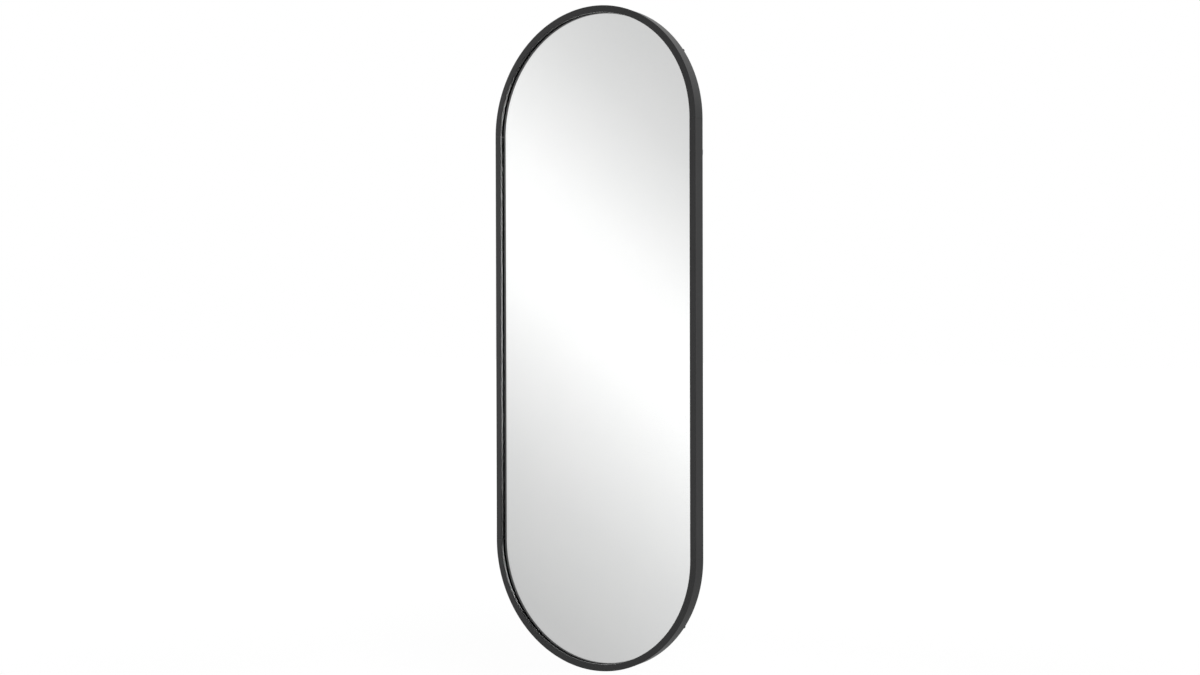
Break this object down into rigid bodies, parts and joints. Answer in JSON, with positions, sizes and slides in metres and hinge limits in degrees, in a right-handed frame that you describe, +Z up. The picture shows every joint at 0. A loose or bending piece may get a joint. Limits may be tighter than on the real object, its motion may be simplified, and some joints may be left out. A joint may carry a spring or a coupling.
{
  "type": "wall mirror",
  "caption": "Full-length capsule wall mirror: a slim, deep black metal frame round a recessed silvered glass, with backing board, spring clips, joiner keys, ring hangers and wall bumpers.",
  "frame": {"origin": "the middle of the mirror on the wall plane that its bumpers touch", "axes": "+Z up, -Y the way the glass faces, +X on the right of someone who looks into it"},
  "size_m": [0.51, 0.0365, 1.4],
  "materials": {
    "frame": "satin",
    "mirror": "polished",
    "card": "matte",
    "board": "matte",
    "zinc": "satin",
    "spring": "satin",
    "rubber": "matte"
  },
  "bodies": {
    "mirror": {"frame_top_arc": "frame", "frame_bottom_arc": "frame", "frame_left_rail": "frame", "frame_right_rail": "frame", "mirror_glass": "mirror", "card_liner": "card", "backing_board": "board", "edge_pad_top_1": "rubber", "edge_pad_top_2": "rubber", "spring_clip_top_1": "spring", "spring_clip_top_2": "spring", "spring_clip_top_3": "spring", "joiner_key_top_right": "zinc", "joiner_screw_top_right_rail": "zinc", "joiner_screw_top_right_end": "zinc", "wall_bumper_top_right": "rubber", "joiner_key_top_left": "zinc", "joiner_screw_top_left_rail": "zinc", "joiner_screw_top_left_end": "zinc", "wall_bumper_top_left": "rubber", "edge_pad_bottom_1": "rubber", "edge_pad_bottom_2": "rubber", "spring_clip_bottom_1": "spring", "spring_clip_bottom_2": "spring", "spring_clip_bottom_3": "spring", "joiner_key_bottom_right": "zinc", "joiner_screw_bottom_right_rail": "zinc", "joiner_screw_bottom_right_end": "zinc", "wall_bumper_bottom_right": "rubber", "joiner_key_bottom_left": "zinc", "joiner_screw_bottom_left_rail": "zinc", "joiner_screw_bottom_left_end": "zinc", "wall_bumper_bottom_left": "rubber", "edge_pad_right_1": "rubber", "edge_pad_right_2": "rubber", "spring_clip_right_1": "spring", "spring_clip_right_2": "spring", "spring_clip_right_3": "spring", "spring_clip_right_4": "spring", "hanger_strap_right": "zinc", "hanger_nut_right": "zinc", "hanger_screw_right_upper": "zinc", "hanger_screw_right_lower": "zinc", "edge_pad_left_1": "rubber", "edge_pad_left_2": "rubber", "spring_clip_left_1": "spring", "spring_clip_left_2": "spring", "spring_clip_left_3": "spring", "spring_clip_left_4": "spring", "hanger_strap_left": "zinc", "hanger_nut_left": "zinc", "hanger_screw_left_upper": "zinc", "hanger_screw_left_lower": "zinc"},
    "ring_right": {"hanger_ring_right": "zinc"},
    "ring_left": {"hanger_ring_left": "zinc"}
  },
  "joints": [
    {"name": "ring_right_swing", "type": "hinge", "parent": "mirror", "child": "ring_right", "pos_m": [0.2435, -0.0034, 0.385], "axis": [1, 0, 0], "range_deg": [0, 180]},
    {"name": "ring_left_swing", "type": "hinge", "parent": "mirror", "child": "ring_left", "pos_m": [-0.2435, -0.0034, 0.385], "axis": [1, 0, 0], "range_deg": [0, 180]}
  ]
}
